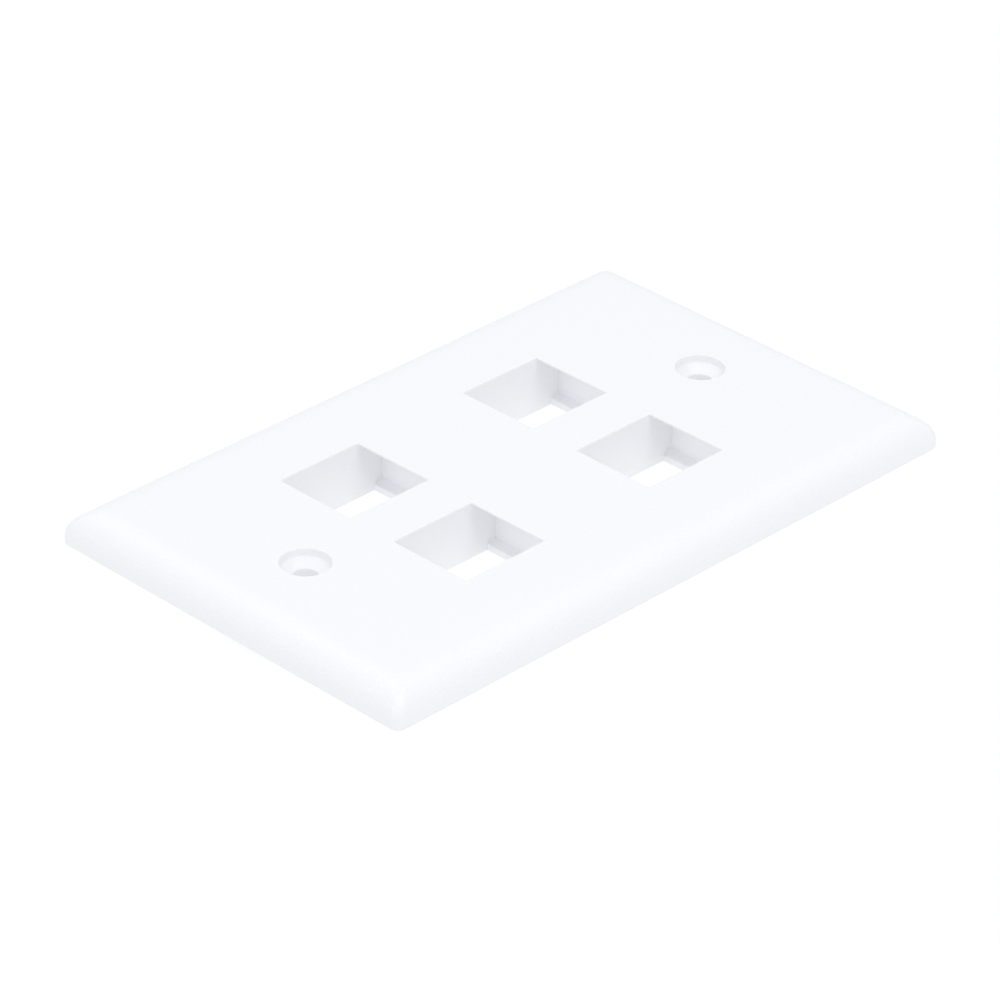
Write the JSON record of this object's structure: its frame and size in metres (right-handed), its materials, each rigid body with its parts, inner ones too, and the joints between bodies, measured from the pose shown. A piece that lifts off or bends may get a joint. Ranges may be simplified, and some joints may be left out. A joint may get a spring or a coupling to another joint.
{
  "type": "keystone faceplate",
  "caption": "Single-gang wall faceplate with keystone jack ports, a rolled edge, recessed screw holes and a hollow ribbed back.",
  "frame": {"origin": "midway between the two screw holes, on the mounting plane at the back of the rim", "axes": "+Z out of the face towards the user, +Y along the length towards the latch side of the ports, +X across the width"},
  "size_m": [0.07, 0.115, 0.0097],
  "materials": {
    "plate_plastic": "white moulded plastic, fine satin"
  },
  "bodies": {
    "root": {"faceplate": "plate_plastic"}
  },
  "joints": []
}
